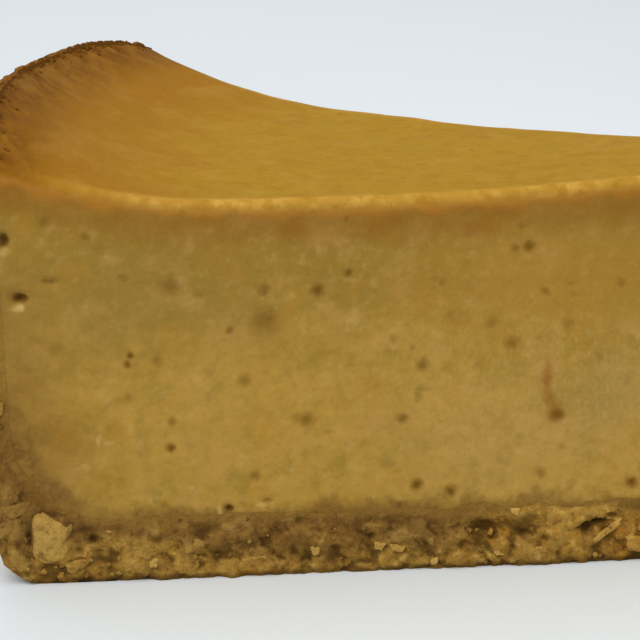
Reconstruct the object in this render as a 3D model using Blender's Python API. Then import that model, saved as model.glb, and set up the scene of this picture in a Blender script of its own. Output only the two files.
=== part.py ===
# A slice of baked pumpkin cheesecake on a biscuit crumb crust, one tenth of a round cake.
#
# The whole cake stands round the Z axis, and the slice runs from its tip on that axis to the
# outer edge, which faces -X. Each sub-part starts as a flat grid in the shape of its own cross
# section, is spun through the slice's angle, and then gets its relief. The slice is moved along
# X afterwards, so that the origin is under the middle of its bounding box.

import math

import bmesh
import bpy
from mathutils import Vector, noise

# Size of the cake and of the slice, in metres and radians
CAKE_RADIUS = 0.1143
SLICE_ANGLE = math.radians(36)

# Crumb crust: a thick base, a thin wall up the outer edge and the fillets between them
BASE_THICKNESS = 0.0086
WALL_FOOT = 0.0028
WALL_TOP = 0.0016
INNER_FILLET = 0.0120
OUTER_FILLET = 0.0058
WALL_STANDS_PROUD = 0.0003

# Height of the baked top above the flat bottom: lowest in a ring, higher at centre and rim
CENTRE_HEIGHT = 0.0507
DISH_DROP = 0.0031
DISH_FROM, DISH_TO = 0.05, 0.62
RIM_RISE = 0.0052
RIM_FROM = 0.68
RIM_POWER = 2.6
RIM_CROWN = 0.0048
CROWN_FROM = 0.78

# Free gap between the filling and the crust
GAP = 0.0003

# Where the flat floor of the crust ends and where its wall begins
FLOOR_END = CAKE_RADIUS - WALL_FOOT - INNER_FILLET
CORNER_TOP = BASE_THICKNESS + INNER_FILLET

# Relief: crumbs on the crust, a knife's slight waves on the filling's cut sides
CRUMB_SIZE = 0.0042
CRUMB_RELIEF = 0.0011
GRIT_SIZE = 0.0019
GRIT_RELIEF = 0.0005
WAVE_SIZE = 0.0220
WAVE_RELIEF = 0.0004
TIP_FADE = 0.0140
RAGGED_EDGE = 0.0010

# One large crumb that stands out of the base on one cut side, near the outer edge
LUMP_RADIUS = 0.1077
LUMP_HEIGHT = 0.0060
LUMP_REACH = 0.0036
LUMP_RELIEF = 0.0011

# Looks
CRUMB_COLOUR = (0.19, 0.10, 0.025)
CRUMB_ROUGHNESS = 0.85
CUSTARD_COLOUR = (0.35, 0.20, 0.04)
CUSTARD_ROUGHNESS = 0.55
SHARP_ANGLE = math.radians(40)

# Grid divisions, and how near counts as touching, in metres and as a share
ANGLE_STEPS = 24
BASE_COLUMNS = 56
CORNER_COLUMNS = 13
WALL_COLUMNS = 19
CRUST_ROWS = 5
FILLING_FLOOR_COLUMNS = 38
FILLING_CORNER_COLUMNS = 7
FILLING_ROWS = 16
FLAT_WITHIN = math.radians(0.2)
NEAR = 1e-6
NEAR_SHARE = 1e-4


def smooth_share(value, low, high):
    """Runs from 0 at low to 1 at high, with no corner at either end."""
    share = min(max((value - low) / (high - low), 0.0), 1.0)
    return share * share * (3 - 2 * share)


def top_height(radius, side):
    """Height of the baked top. Side is 0 on the slice's middle line and 1 on its cut faces."""
    share = radius / CAKE_RADIUS
    dish = DISH_DROP * smooth_share(share, DISH_FROM, DISH_TO)
    rim = RIM_RISE * max(0.0, (share - RIM_FROM) / (1 - RIM_FROM)) ** RIM_POWER
    crown = RIM_CROWN * max(0.0, (share - CROWN_FROM) / (1 - CROWN_FROM)) ** 2
    return CENTRE_HEIGHT - dish + rim + crown * (1 - side**4)


def wall_rim(side):
    """Height of the crust wall's top edge."""
    return top_height(CAKE_RADIUS, side) + WALL_STANDS_PROUD


def up_the_wall(height):
    """Share of the way from the wall's foot, at 0, to its top at a cut face, at 1."""
    return max(0.0, (height - CORNER_TOP) / (wall_rim(1) - CORNER_TOP))


def wall_thickness(share):
    return WALL_FOOT + (WALL_TOP - WALL_FOOT) * share


def inner_corner(share, clearance):
    """Point on the fillet under the filling by its share of the bend, moved in by the clearance."""
    angle = share * math.pi / 2
    fillet = INNER_FILLET - clearance
    return Vector((FLOOR_END + fillet * math.sin(angle), CORNER_TOP - fillet * math.cos(angle)))


def floor_height(radius, clearance):
    """Height of the crust's inner surface under the filling, up to the foot of the wall."""
    fillet = INNER_FILLET - clearance
    reach = min(max(radius - FLOOR_END, 0.0), fillet)
    return CORNER_TOP - math.sqrt(fillet**2 - reach**2)


def unit_grid(columns, rows):
    """A bmesh of a flat grid whose x and z run from 0 to 1."""
    grid = bmesh.new()
    bmesh.ops.create_grid(grid, x_segments=columns, y_segments=rows, size=0.5)
    for vertex in grid.verts:
        vertex.co = (vertex.co.x + 0.5, 0.0, vertex.co.y + 0.5)
    return grid


def spin_section(grid, section_point):
    """Bends the unit grid into the cross section and spins it through the slice's angle."""
    start = math.pi - SLICE_ANGLE / 2
    for vertex in grid.verts:
        radius, height = section_point(vertex.co.x, vertex.co.z)
        vertex.co = (radius * math.cos(start), radius * math.sin(start), height)
    bmesh.ops.spin(
        grid,
        geom=grid.verts[:] + grid.edges[:] + grid.faces[:],
        cent=(0, 0, 0),
        axis=(0, 0, 1),
        angle=SLICE_ANGLE,
        steps=ANGLE_STEPS,
        use_duplicate=False,
    )
    bmesh.ops.remove_doubles(grid, verts=grid.verts[:], dist=NEAR)
    bmesh.ops.recalc_face_normals(grid, faces=grid.faces[:])


def polar(point):
    """Radius from the cake's axis, and the side: -1 and 1 on the two cut faces."""
    angle = math.atan2(point.y, point.x) % (2 * math.pi) - math.pi
    return math.hypot(point.x, point.y), angle / (SLICE_ANGLE / 2)


def on_cut_face(radius, side):
    return radius > NEAR and abs(side) > 1 - NEAR_SHARE


def cut_normal(side):
    """Outward normal of the cut face on that side of the slice."""
    angle = math.pi + math.copysign(SLICE_ANGLE / 2, side)
    turn = math.copysign(1.0, side)
    return Vector((-math.sin(angle) * turn, math.cos(angle) * turn, 0))


def crumb_bump(point):
    """Height of the crumbs at a point: a rounded hump over each cell, with grit on top."""
    nearest = noise.voronoi(point / CRUMB_SIZE)[0][0]
    grit = noise.noise(point / GRIT_SIZE)
    return CRUMB_RELIEF * (0.45 - nearest) + GRIT_RELIEF * grit


def lump_bump(radius, side, height):
    """Height of the one large crumb, which is on the first cut face only."""
    distance = math.hypot(radius - LUMP_RADIUS, height - LUMP_HEIGHT)
    return LUMP_RELIEF * smooth_share(LUMP_REACH - distance, 0, LUMP_REACH) if side > 0 else 0.0


def crust_section(u, v):
    """Point of the crust's cross section: u runs from the tip to the rim, v from outside in."""
    column = u * (BASE_COLUMNS + CORNER_COLUMNS + WALL_COLUMNS)
    if column <= BASE_COLUMNS:
        return FLOOR_END * column / BASE_COLUMNS, BASE_THICKNESS * v
    if column <= BASE_COLUMNS + CORNER_COLUMNS:
        share = (column - BASE_COLUMNS) / CORNER_COLUMNS
        return tuple(outer_corner(share).lerp(inner_corner(share, 0.0), v))
    share = (column - BASE_COLUMNS - CORNER_COLUMNS) / WALL_COLUMNS
    height = CORNER_TOP + (wall_rim(1) - CORNER_TOP) * share
    return CAKE_RADIUS - wall_thickness(share) * v, height


def outer_corner(share):
    """Point on the crust's outside between the base and the wall, by its share of the way."""
    flat = CAKE_RADIUS - OUTER_FILLET - FLOOR_END
    bend = OUTER_FILLET * math.pi / 2
    upright = CORNER_TOP - OUTER_FILLET
    walked = share * (flat + bend + upright)
    if walked <= flat:
        return Vector((FLOOR_END + walked, 0.0))
    if walked <= flat + bend:
        angle = (walked - flat) / OUTER_FILLET
        return Vector((
            CAKE_RADIUS - OUTER_FILLET + OUTER_FILLET * math.sin(angle),
            OUTER_FILLET - OUTER_FILLET * math.cos(angle),
        ))
    return Vector((CAKE_RADIUS, OUTER_FILLET + walked - flat - bend))


def on_inside(radius, height):
    """Whether a point of the section lies on the crust's inner surface, against the filling."""
    if height < CORNER_TOP:
        return height > floor_height(radius, 0.0) - NEAR
    return radius < CAKE_RADIUS - wall_thickness(up_the_wall(height)) + NEAR


def on_outside(radius, height):
    """Whether a point of the section lies on the crust's outside, above its flat bottom."""
    if height > OUTER_FILLET:
        return radius > CAKE_RADIUS - NEAR
    reach = radius - (CAKE_RADIUS - OUTER_FILLET)
    return reach > 0 and math.hypot(reach, OUTER_FILLET - height) > OUTER_FILLET - NEAR


def crust_shift(point):
    """How far a point of the plain crust moves: up to the rim's crown, and out by the crumbs."""
    radius, side = polar(point)
    share = up_the_wall(point.z)
    shift = Vector((0, 0, share * (wall_rim(side) - wall_rim(1))))
    if share > 1 - NEAR_SHARE:
        shift.z += RAGGED_EDGE * noise.noise(point / GRIT_SIZE)
    bump = crumb_bump(point)
    if on_cut_face(radius, side) and not on_inside(radius, point.z):
        bump_here = bump + lump_bump(radius, side, point.z)
        shift += cut_normal(side) * bump_here * smooth_share(radius, 0, TIP_FADE)
    if on_outside(radius, point.z):
        outward = Vector((point.x, point.y, 0)).normalized()
        shift += outward * bump * smooth_share(point.z, 0, OUTER_FILLET)
    return shift


def filling_section(u, v):
    """Point of the filling's cross section: u runs from the tip outwards, v from the base up."""
    column = u * (FILLING_FLOOR_COLUMNS + FILLING_CORNER_COLUMNS)
    if column <= FILLING_FLOOR_COLUMNS:
        foot = Vector((FLOOR_END * column / FILLING_FLOOR_COLUMNS, BASE_THICKNESS + GAP))
    else:
        foot = inner_corner((column - FILLING_FLOOR_COLUMNS) / FILLING_CORNER_COLUMNS, GAP)
    reach = foot.x / (CAKE_RADIUS - WALL_FOOT - GAP)
    roof = top_height(reach * (CAKE_RADIUS - WALL_TOP - GAP), 1)
    height = foot.y + (roof - foot.y) * v
    return foot.x + reach * (WALL_FOOT - wall_thickness(up_the_wall(height))), height


def filling_shift(point):
    """How far a point of the plain filling moves: up to the rim's crown, and out by the waves."""
    radius, side = polar(point)
    floor = floor_height(radius, GAP)
    roof = top_height(radius, 1)
    share = (point.z - floor) / (roof - floor)
    shift = Vector((0, 0, share * (top_height(radius, side) - roof)))
    if on_cut_face(radius, side) and point.z > floor + GAP:
        wave = WAVE_RELIEF * noise.noise(point / WAVE_SIZE)
        shift += cut_normal(side) * wave * smooth_share(radius, 0, TIP_FADE)
    return shift


def spun_mesh(name, columns, rows, section_point, shift_at):
    """Spins a cross section, gives it its relief, and joins the small faces that lie in one plane."""
    grid = unit_grid(columns, rows)
    spin_section(grid, section_point)
    for vertex in grid.verts:
        vertex.co += shift_at(vertex.co)
    bmesh.ops.dissolve_limit(
        grid, angle_limit=FLAT_WITHIN, verts=grid.verts[:], edges=grid.edges[:]
    )
    bmesh.ops.recalc_face_normals(grid, faces=grid.faces[:])
    mesh = bpy.data.meshes.new(name)
    grid.to_mesh(mesh)
    grid.free()
    mesh.shade_smooth()
    mesh.set_sharp_from_angle(angle=SHARP_ANGLE)
    return mesh


def food_material(name, colour, roughness):
    material = bpy.data.materials.new(name)
    material.use_nodes = True
    shader = material.node_tree.nodes["Principled BSDF"]
    shader.inputs["Base Color"].default_value = (*colour, 1.0)
    shader.inputs["Roughness"].default_value = roughness
    shader.inputs["Metallic"].default_value = 0.0
    return material


def add_sub_part(collection, name, mesh, material):
    sub_part = bpy.data.objects.new(name, mesh)
    sub_part.location = (CAKE_RADIUS / 2, 0, 0)
    sub_part.data.materials.append(material)
    collection.objects.link(sub_part)
    return sub_part


def main():
    for leftover in list(bpy.data.objects):
        bpy.data.objects.remove(leftover)
    collection = bpy.data.collections.new("Baked cheesecake slice")
    bpy.context.scene.collection.children.link(collection)
    crust_columns = BASE_COLUMNS + CORNER_COLUMNS + WALL_COLUMNS
    crust = spun_mesh("Crust", crust_columns, CRUST_ROWS, crust_section, crust_shift)
    crumb = food_material("Biscuit crumb", CRUMB_COLOUR, CRUMB_ROUGHNESS)
    add_sub_part(collection, "crust", crust, crumb)
    filling_columns = FILLING_FLOOR_COLUMNS + FILLING_CORNER_COLUMNS
    filling = spun_mesh("Filling", filling_columns, FILLING_ROWS, filling_section, filling_shift)
    custard = food_material("Baked pumpkin filling", CUSTARD_COLOUR, CUSTARD_ROUGHNESS)
    add_sub_part(collection, "filling", filling, custard)


main()
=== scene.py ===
import itertools
import math

import bmesh
import bpy
import numpy as np
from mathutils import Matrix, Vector


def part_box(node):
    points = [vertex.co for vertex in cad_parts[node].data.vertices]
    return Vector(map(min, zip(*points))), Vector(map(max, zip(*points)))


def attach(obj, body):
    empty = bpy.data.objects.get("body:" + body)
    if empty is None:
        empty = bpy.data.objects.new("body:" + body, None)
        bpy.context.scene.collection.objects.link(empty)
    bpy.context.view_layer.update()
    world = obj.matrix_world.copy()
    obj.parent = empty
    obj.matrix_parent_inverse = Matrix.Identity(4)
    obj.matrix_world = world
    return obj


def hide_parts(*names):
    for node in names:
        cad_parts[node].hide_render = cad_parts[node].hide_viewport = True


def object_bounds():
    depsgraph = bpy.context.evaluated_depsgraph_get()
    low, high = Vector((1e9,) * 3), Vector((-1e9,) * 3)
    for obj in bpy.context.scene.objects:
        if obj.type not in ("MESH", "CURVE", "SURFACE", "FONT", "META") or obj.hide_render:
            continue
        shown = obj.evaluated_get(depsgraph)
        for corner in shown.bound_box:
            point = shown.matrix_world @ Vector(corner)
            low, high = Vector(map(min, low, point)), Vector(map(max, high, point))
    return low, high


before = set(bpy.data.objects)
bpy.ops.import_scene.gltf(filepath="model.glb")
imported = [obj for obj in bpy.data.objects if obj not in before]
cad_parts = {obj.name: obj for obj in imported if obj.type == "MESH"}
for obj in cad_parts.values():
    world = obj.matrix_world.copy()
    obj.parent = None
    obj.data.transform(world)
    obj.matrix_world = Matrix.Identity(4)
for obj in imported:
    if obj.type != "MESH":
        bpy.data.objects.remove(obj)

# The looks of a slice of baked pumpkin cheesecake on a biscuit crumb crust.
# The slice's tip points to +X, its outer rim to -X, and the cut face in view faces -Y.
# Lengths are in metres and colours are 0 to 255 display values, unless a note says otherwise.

cadBounds = [list(corner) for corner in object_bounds()]
crustHigh = Vector(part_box("crust")[1])
joinWithin = 1e-6  # what counts as the same place
sharpFrom = math.radians(58)  # edges past this angle are shaded sharp
offFloor = 0.00005  # how far loose crumbs stay off the floor

# The slice's own form: the solids' form, but with a thinner wall of crumbs, which the photo shows as a skin
wedge = {
    "radius": 2 * crustHigh.x,  # tip to outer rim, as the frame's origin is half way
    "halfAngle": math.radians(18),
    "baseThickness": 0.0086,
    "wallFoot": 0.0024,
    "wallTop": 0.001,
    "innerFillet": 0.012,
    "outerFillet": 0.0058,
    "wallProud": 0.0003,
    "centreHeight": 0.0507,
    "dishDrop": 0.0031,
    "dishFrom": 0.05,
    "dishTo": 0.62,
    "rimRise": 0.0055,
    "rimFrom": 0.68,
    "rimPower": 2.6,
    "crown": 0.0048,
    "crownFrom": 0.78,
    "crownTilt": 0.36,  # how much more the crown rises towards the cut face in view
    "shoulder": 0.0003,  # how far the outermost part of the top is rounded down
    "shoulderWidth": 0.0014,
    "bite": -0.0004,  # how far the crust reaches into the filling along their border
    "ripple": 0.0005,  # how far that border rises and falls
    "rippleFade": 0.004,  # half the height over which the ripple ends, at the top of the corner
    "overlap": 0.0006,  # how far the filling reaches into the wall
    "sunk": 0.0024,  # how far the filling's floor lies inside the base
    "faceIn": 0.0001,  # how far the cut faces lie inside the plain wedge
    "tipFade": (0.001, 0.013),  # between these radii the cut faces' relief grows to its full height
    # noises that add up: height, size, seed and how much the noise is squeezed upright
    "rippleNoises": [(1.0, 0.0046, 81, 1), (0.7, 0.0017, 82, 1)],
    "faceNoises": [(0.00022, 0.017, 3, 1), (0.00006, 0.0032, 3, 2.2), (0.000035, 0.0011, 8, 1)],
}
wedgeRadius = wedge["radius"]
floorEnd = wedgeRadius - wedge["wallFoot"] - wedge["innerFillet"]
cornerTop = wedge["baseThickness"] + wedge["innerFillet"]


# Fields: numbers worked out for whole arrays of points at once

def randomAt(cells, seed):
    # one fixed number from 0 to 1 for each whole-number cell: the fraction of a large sine
    return (np.sin(cells @ np.array([127.1, 311.7, 74.7]) + seed * 53.3) * 43758.5453) % 1.0


def smoothNoise(points, size, seed):
    # -1 to 1: the random values at a lattice's eight corners, blended by 3t^2 - 2t^3 on each axis
    scaled = points / size
    base = np.floor(scaled)
    blend = scaled - base
    blend = blend * blend * (3 - 2 * blend)
    total = np.zeros(len(points))
    for corner in itertools.product((0, 1), repeat=3):
        weight = np.prod(np.where(corner, blend, 1 - blend), axis=1)
        total += weight * randomAt(base + corner, seed)
    return 2 * total - 1


def cellNoise(points, size, seed):
    # distance to the nearest of the points scattered one to a cell, in cells, and that point's own number
    scaled = points / size
    base = np.floor(scaled)
    nearest = np.full(len(points), 9.0)
    owner = np.zeros(len(points))
    for step in itertools.product((-1, 0, 1), repeat=3):
        cell = base + step
        spot = cell + np.stack([randomAt(cell, seed + axis) for axis in range(3)], axis=1)
        distance = np.linalg.norm(scaled - spot, axis=1)
        closer = distance < nearest
        nearest = np.where(closer, distance, nearest)
        owner = np.where(closer, randomAt(cell, seed + 7), owner)
    return nearest, owner


def easeBetween(value, low, high):
    # 0 below low, 1 above high, and 3t^2 - 2t^3 of the way in between
    share = np.clip((value - low) / (high - low), 0.0, 1.0)
    return share * share * (3 - 2 * share)


def addNoises(points, noises, seed=0):
    # the sum of several noises, each with its height, size, own seed and upright squeeze
    return sum(
        height * smoothNoise(points * [1, 1, squeeze], size, own + seed)
        for height, size, own, squeeze in noises
    )


def pitsIn(points, pits, seed):
    # eased hollows about the points of four cells in ten: cell size, radius and easing in cells, and depth
    size, radius, easing, depth = pits
    distance, owner = cellNoise(points, size, seed)
    return -depth * easeBetween(radius - distance, 0, easing) * (owner > 0.6)


# The slice's profile: radius runs from the tip, side is 1 on the cut face in view and -1 on the other

def topHeight(radius, side):
    # centre height, less an eased dish, plus a power curve to the rim, a crown between the rim's ends that
    # leans to the side in view, and less a rounded shoulder
    share = radius / wedgeRadius
    dish = wedge["dishDrop"] * easeBetween(share, wedge["dishFrom"], wedge["dishTo"])
    rimShare = np.clip((share - wedge["rimFrom"]) / (1 - wedge["rimFrom"]), 0, None)
    crownShare = np.clip((share - wedge["crownFrom"]) / (1 - wedge["crownFrom"]), 0, None)
    rise = wedge["rimRise"] * rimShare ** wedge["rimPower"]
    crown = wedge["crown"] * crownShare**2 * (1 - side**4) * (1 + wedge["crownTilt"] * side)
    rounded = wedge["shoulder"] * np.clip(1 - (wedgeRadius - radius) / wedge["shoulderWidth"], 0, 1) ** 2
    return wedge["centreHeight"] - dish + rise + crown - rounded


def rimHeight(side):
    # the top height at the outer rim, where the crust stands a little proud
    return topHeight(np.float64(wedgeRadius), side) + wedge["wallProud"]


def upTheWall(height):
    # 0 where the wall leaves the corner and 1 at the rim
    return np.clip((height - cornerTop) / (rimHeight(1.0) - cornerTop), 0, 1)


def wallThickness(share):
    # thins evenly from foot to rim
    return wedge["wallFoot"] + (wedge["wallTop"] - wedge["wallFoot"]) * share


def floorHeight(radius, bite=0.0):
    # the crust's inner surface: flat, then a quarter circle up to the wall, moved by the bite
    bend = wedge["innerFillet"] - bite
    reach = np.clip(radius - floorEnd, 0, bend)
    return cornerTop - np.sqrt(bend**2 - reach**2)


def borderWave(spots, nominal):
    # how far the border of crust and filling lies above its nominal height: two noises, fading up the corner
    fade = easeBetween(cornerTop - nominal, -wedge["rippleFade"], wedge["rippleFade"])
    return wedge["ripple"] * addNoises(spots, wedge["rippleNoises"]) * fade


def faceWave(points, face):
    # how far a cut face waves out and in, the same on crust and filling, so that they meet without a step
    return addNoises(points, wedge["faceNoises"], face) - wedge["faceIn"]


def awayFromTip(radius):
    # 0 at the tip, easing to 1 where the cut faces' relief has its full height
    return easeBetween(radius, *wedge["tipFade"])


def outerProfile(height):
    # radius of the crust's outside at a height: a quarter circle at the foot, then upright
    drop = np.clip(wedge["outerFillet"] - height, 0, wedge["outerFillet"])
    return wedgeRadius - wedge["outerFillet"] + np.sqrt(wedge["outerFillet"] ** 2 - drop**2)


def placeAt(radius, side, height):
    # turns radius, side and height into points: the angle is side times half the slice's angle
    angle = side * wedge["halfAngle"]
    return np.stack([
        crustHigh.x - radius * np.cos(angle),
        -radius * np.sin(angle),
        height + 0 * radius,
    ], axis=-1)


def cutNormal(face):
    # outward direction of the cut face: 1 is the one in view
    return np.array([math.sin(wedge["halfAngle"]), -face * math.cos(wedge["halfAngle"]), 0.0])


def alongCut(face):
    # direction along the cut face from the rim to the tip
    return np.array([math.cos(wedge["halfAngle"]), face * math.sin(wedge["halfAngle"]), 0.0])


def facePoint(fromRim, height, face=1.0):
    # a point on a cut face by its distance from the rim and its height
    return placeAt(np.float64(wedgeRadius - fromRim), face, height)


def squareAway(radius, height, fromRim, high, halfWide, halfHigh):
    # the square of how far points lie from a spot, 1 on an ellipse about it; the spot is given in mm
    across = ((wedgeRadius - radius) * 1000 - fromRim) / halfWide
    up = (height * 1000 - high) / halfHigh
    return across**2 + up**2


# Meshes

def gridFaces(rows, columns, start, turned=False):
    # quads between neighbouring points of a grid that is stored row by row
    corner = start + (np.arange(rows - 1)[:, None] * columns + np.arange(columns - 1)).ravel()
    quads = np.stack([corner, corner + 1, corner + columns + 1, corner + columns], axis=1)
    return quads[:, ::-1] if turned else quads


def carrySection(columns, rows, sideOf, fill):
    # A section of columns by rows becomes a solid: its border, once round, is carried from cut face to cut
    # face on the sides that sideOf gives, and the section itself closes both ends. fill(column, row, side,
    # offset) gives the fields at each point. Returns them over all points, and the quads.
    last = columns - 1
    column = np.concatenate([
        np.arange(columns), np.full(len(rows) - 2, last), np.arange(columns)[::-1], np.zeros(len(rows) - 1, int),
    ])
    row = np.concatenate([np.zeros(columns), rows[1:-1], np.ones(columns), rows[-2::-1]])
    side, offset = sideOf(column)
    capColumn, capRow = np.meshgrid(np.arange(columns), rows, indexing="ij")
    parts = [
        (fill(column[:, None], row[:, None], side, offset), side.shape),
        (fill(capColumn, capRow, 1.0, 0.0), capRow.shape),
        (fill(capColumn, capRow, -1.0, 0.0), capRow.shape),
    ]
    fields = [
        np.concatenate([np.broadcast_to(part[i], shape).ravel() for part, shape in parts])
        for i in range(len(parts[0][0]))
    ]
    start = side.size
    quads = [
        gridFaces(*side.shape, 0),
        gridFaces(*capRow.shape, start),
        gridFaces(*capRow.shape, start + capRow.size, turned=True),
    ]
    return fields, np.concatenate(quads)


def addObject(name, data):
    # puts a mesh, a lamp or a camera into the scene
    thing = bpy.data.objects.new(name, data)
    bpy.context.scene.collection.objects.link(thing)
    return thing


def meshPiece(name, points, faces, material, attributes=None, smooth=True, weld=True):
    # puts whole arrays into a mesh, held inside the solids' box, merges the borders that meet, and turns the
    # faces outwards
    mesh = bpy.data.meshes.new(name)
    mesh.from_pydata(np.clip(points, *cadBounds), [], faces)
    for label, values in (attributes or {}).items():
        mesh.attributes.new(label, "FLOAT", "POINT").data.foreach_set("value", values)
    if weld:
        work = bmesh.new()
        work.from_mesh(mesh)
        bmesh.ops.remove_doubles(work, verts=work.verts[:], dist=joinWithin)
        bmesh.ops.recalc_face_normals(work, faces=work.faces[:])
        work.to_mesh(mesh)
        work.free()
    mesh.polygons.foreach_set("use_smooth", np.full(len(mesh.polygons), smooth))
    mesh.set_sharp_from_angle(angle=sharpFrom)
    mesh.materials.append(material)
    mesh.update()
    piece = addObject(name, mesh)
    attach(piece, "root")
    print(name, len(mesh.vertices), "points")
    return piece


# Materials

def linear(colour):
    # display values to the scene-linear ones that shaders take
    share = np.array(colour) / 255
    low = share / 12.92
    high = ((share + 0.055) / 1.055) ** 2.4
    return (*np.where(share <= 0.04045, low, high), 1.0)


class Shader:
    # a short hand for building one material's nodes from a look's roughness, specular, noises and colours

    def __init__(self, name, look):
        self.look = look
        self.colour = None  # what is laid on so far
        self.material = bpy.data.materials.new(name)
        self.material.use_nodes = True
        self.tree = self.material.node_tree
        self.surface = self.tree.nodes["Principled BSDF"]
        self.surface.inputs["Roughness"].default_value = look["roughness"]
        self.surface.inputs["Specular IOR Level"].default_value = look["specular"]
        self.place = self.add("ShaderNodeTexCoord").outputs["Object"]
        self.noises = {noise: self.noise(*settings) for noise, settings in look["noises"].items()}

    def add(self, kind, inputs=None, **settings):
        node = self.tree.nodes.new(kind)
        for key, value in settings.items():
            setattr(node, key, value)
        for key, value in (inputs or {}).items():
            if isinstance(value, bpy.types.NodeSocket):
                self.tree.links.new(value, node.inputs[key])
            else:
                node.inputs[key].default_value = value
        return node

    def attributes(self, *names):
        return [self.add("ShaderNodeAttribute", attribute_name=name).outputs["Fac"] for name in names]

    def noise(self, size, detail=2.0, roughness=0.5, place=None):
        inputs = {"Vector": place or self.place, "Scale": 1 / size, "Detail": detail, "Roughness": roughness}
        return self.add("ShaderNodeTexNoise", inputs).outputs["Fac"]

    def ramp(self, value, low, high, toLow=0.0, toHigh=1.0):
        inputs = {"Value": value, "From Min": low, "From Max": high, "To Min": toLow, "To Max": toHigh}
        return self.add("ShaderNodeMapRange", inputs, interpolation_type="SMOOTHSTEP").outputs[0]

    def maths(self, operation, *values):
        return self.add("ShaderNodeMath", dict(enumerate(values)), operation=operation).outputs[0]

    def plus(self, total, *others):
        # total + value * factor, for each pair of these in others
        for value, factor in others:
            total = self.maths("MULTIPLY_ADD", value, factor, total)
        return total

    def times(self, product, *others):
        for value in others:
            product = self.maths("MULTIPLY", product, value)
        return product

    def larger(self, first, second):
        return self.maths("MAXIMUM", first, second)

    def vector(self, operation, first, second):
        return self.add("ShaderNodeVectorMath", {0: first, 1: second}, operation=operation).outputs

    def away(self, place, fromRim, height, wide, high=None, deep=None):
        # 1 on the outline of an ellipsoid about a spot on the cut face in view, less inside and more outside;
        # its distance from the rim, its height and its half width, height and depth are in mm
        spot = facePoint(fromRim / 1000, height / 1000)
        moved = self.vector("SUBTRACT", place, tuple(spot))[0]
        scaled = self.vector("MULTIPLY", moved, (1000 / wide, 1000 / (deep or wide), 1000 / (high or wide)))[0]
        return self.vector("LENGTH", scaled, (0, 0, 0))["Value"]

    def mix(self, share, *colours):
        first, second = [linear(colour) if isinstance(colour, tuple) else colour for colour in colours]
        return self.add("ShaderNodeMix", {0: share, 6: first, 7: second}, data_type="RGBA").outputs[2]

    def lay(self, share, colour):
        # lays a colour, or one that the look names, over what is there
        self.colour = self.mix(share, self.colour, self.look[colour] if isinstance(colour, str) else colour)

    def layers(self, layers):
        # lays colours on, each up to a share, where its noise runs from one value to another
        for noise, start, full, most, colour in layers:
            self.lay(self.ramp(self.noises[noise], start, full, 0, most), colour)

    def finish(self, height, strength, distance):
        bump = self.add("ShaderNodeBump", {"Height": height, "Strength": strength, "Distance": distance})
        self.tree.links.new(self.colour, self.surface.inputs["Base Color"])
        self.tree.links.new(bump.outputs[0], self.surface.inputs["Normal"])
        return self.material


# The filling: its looks

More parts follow.
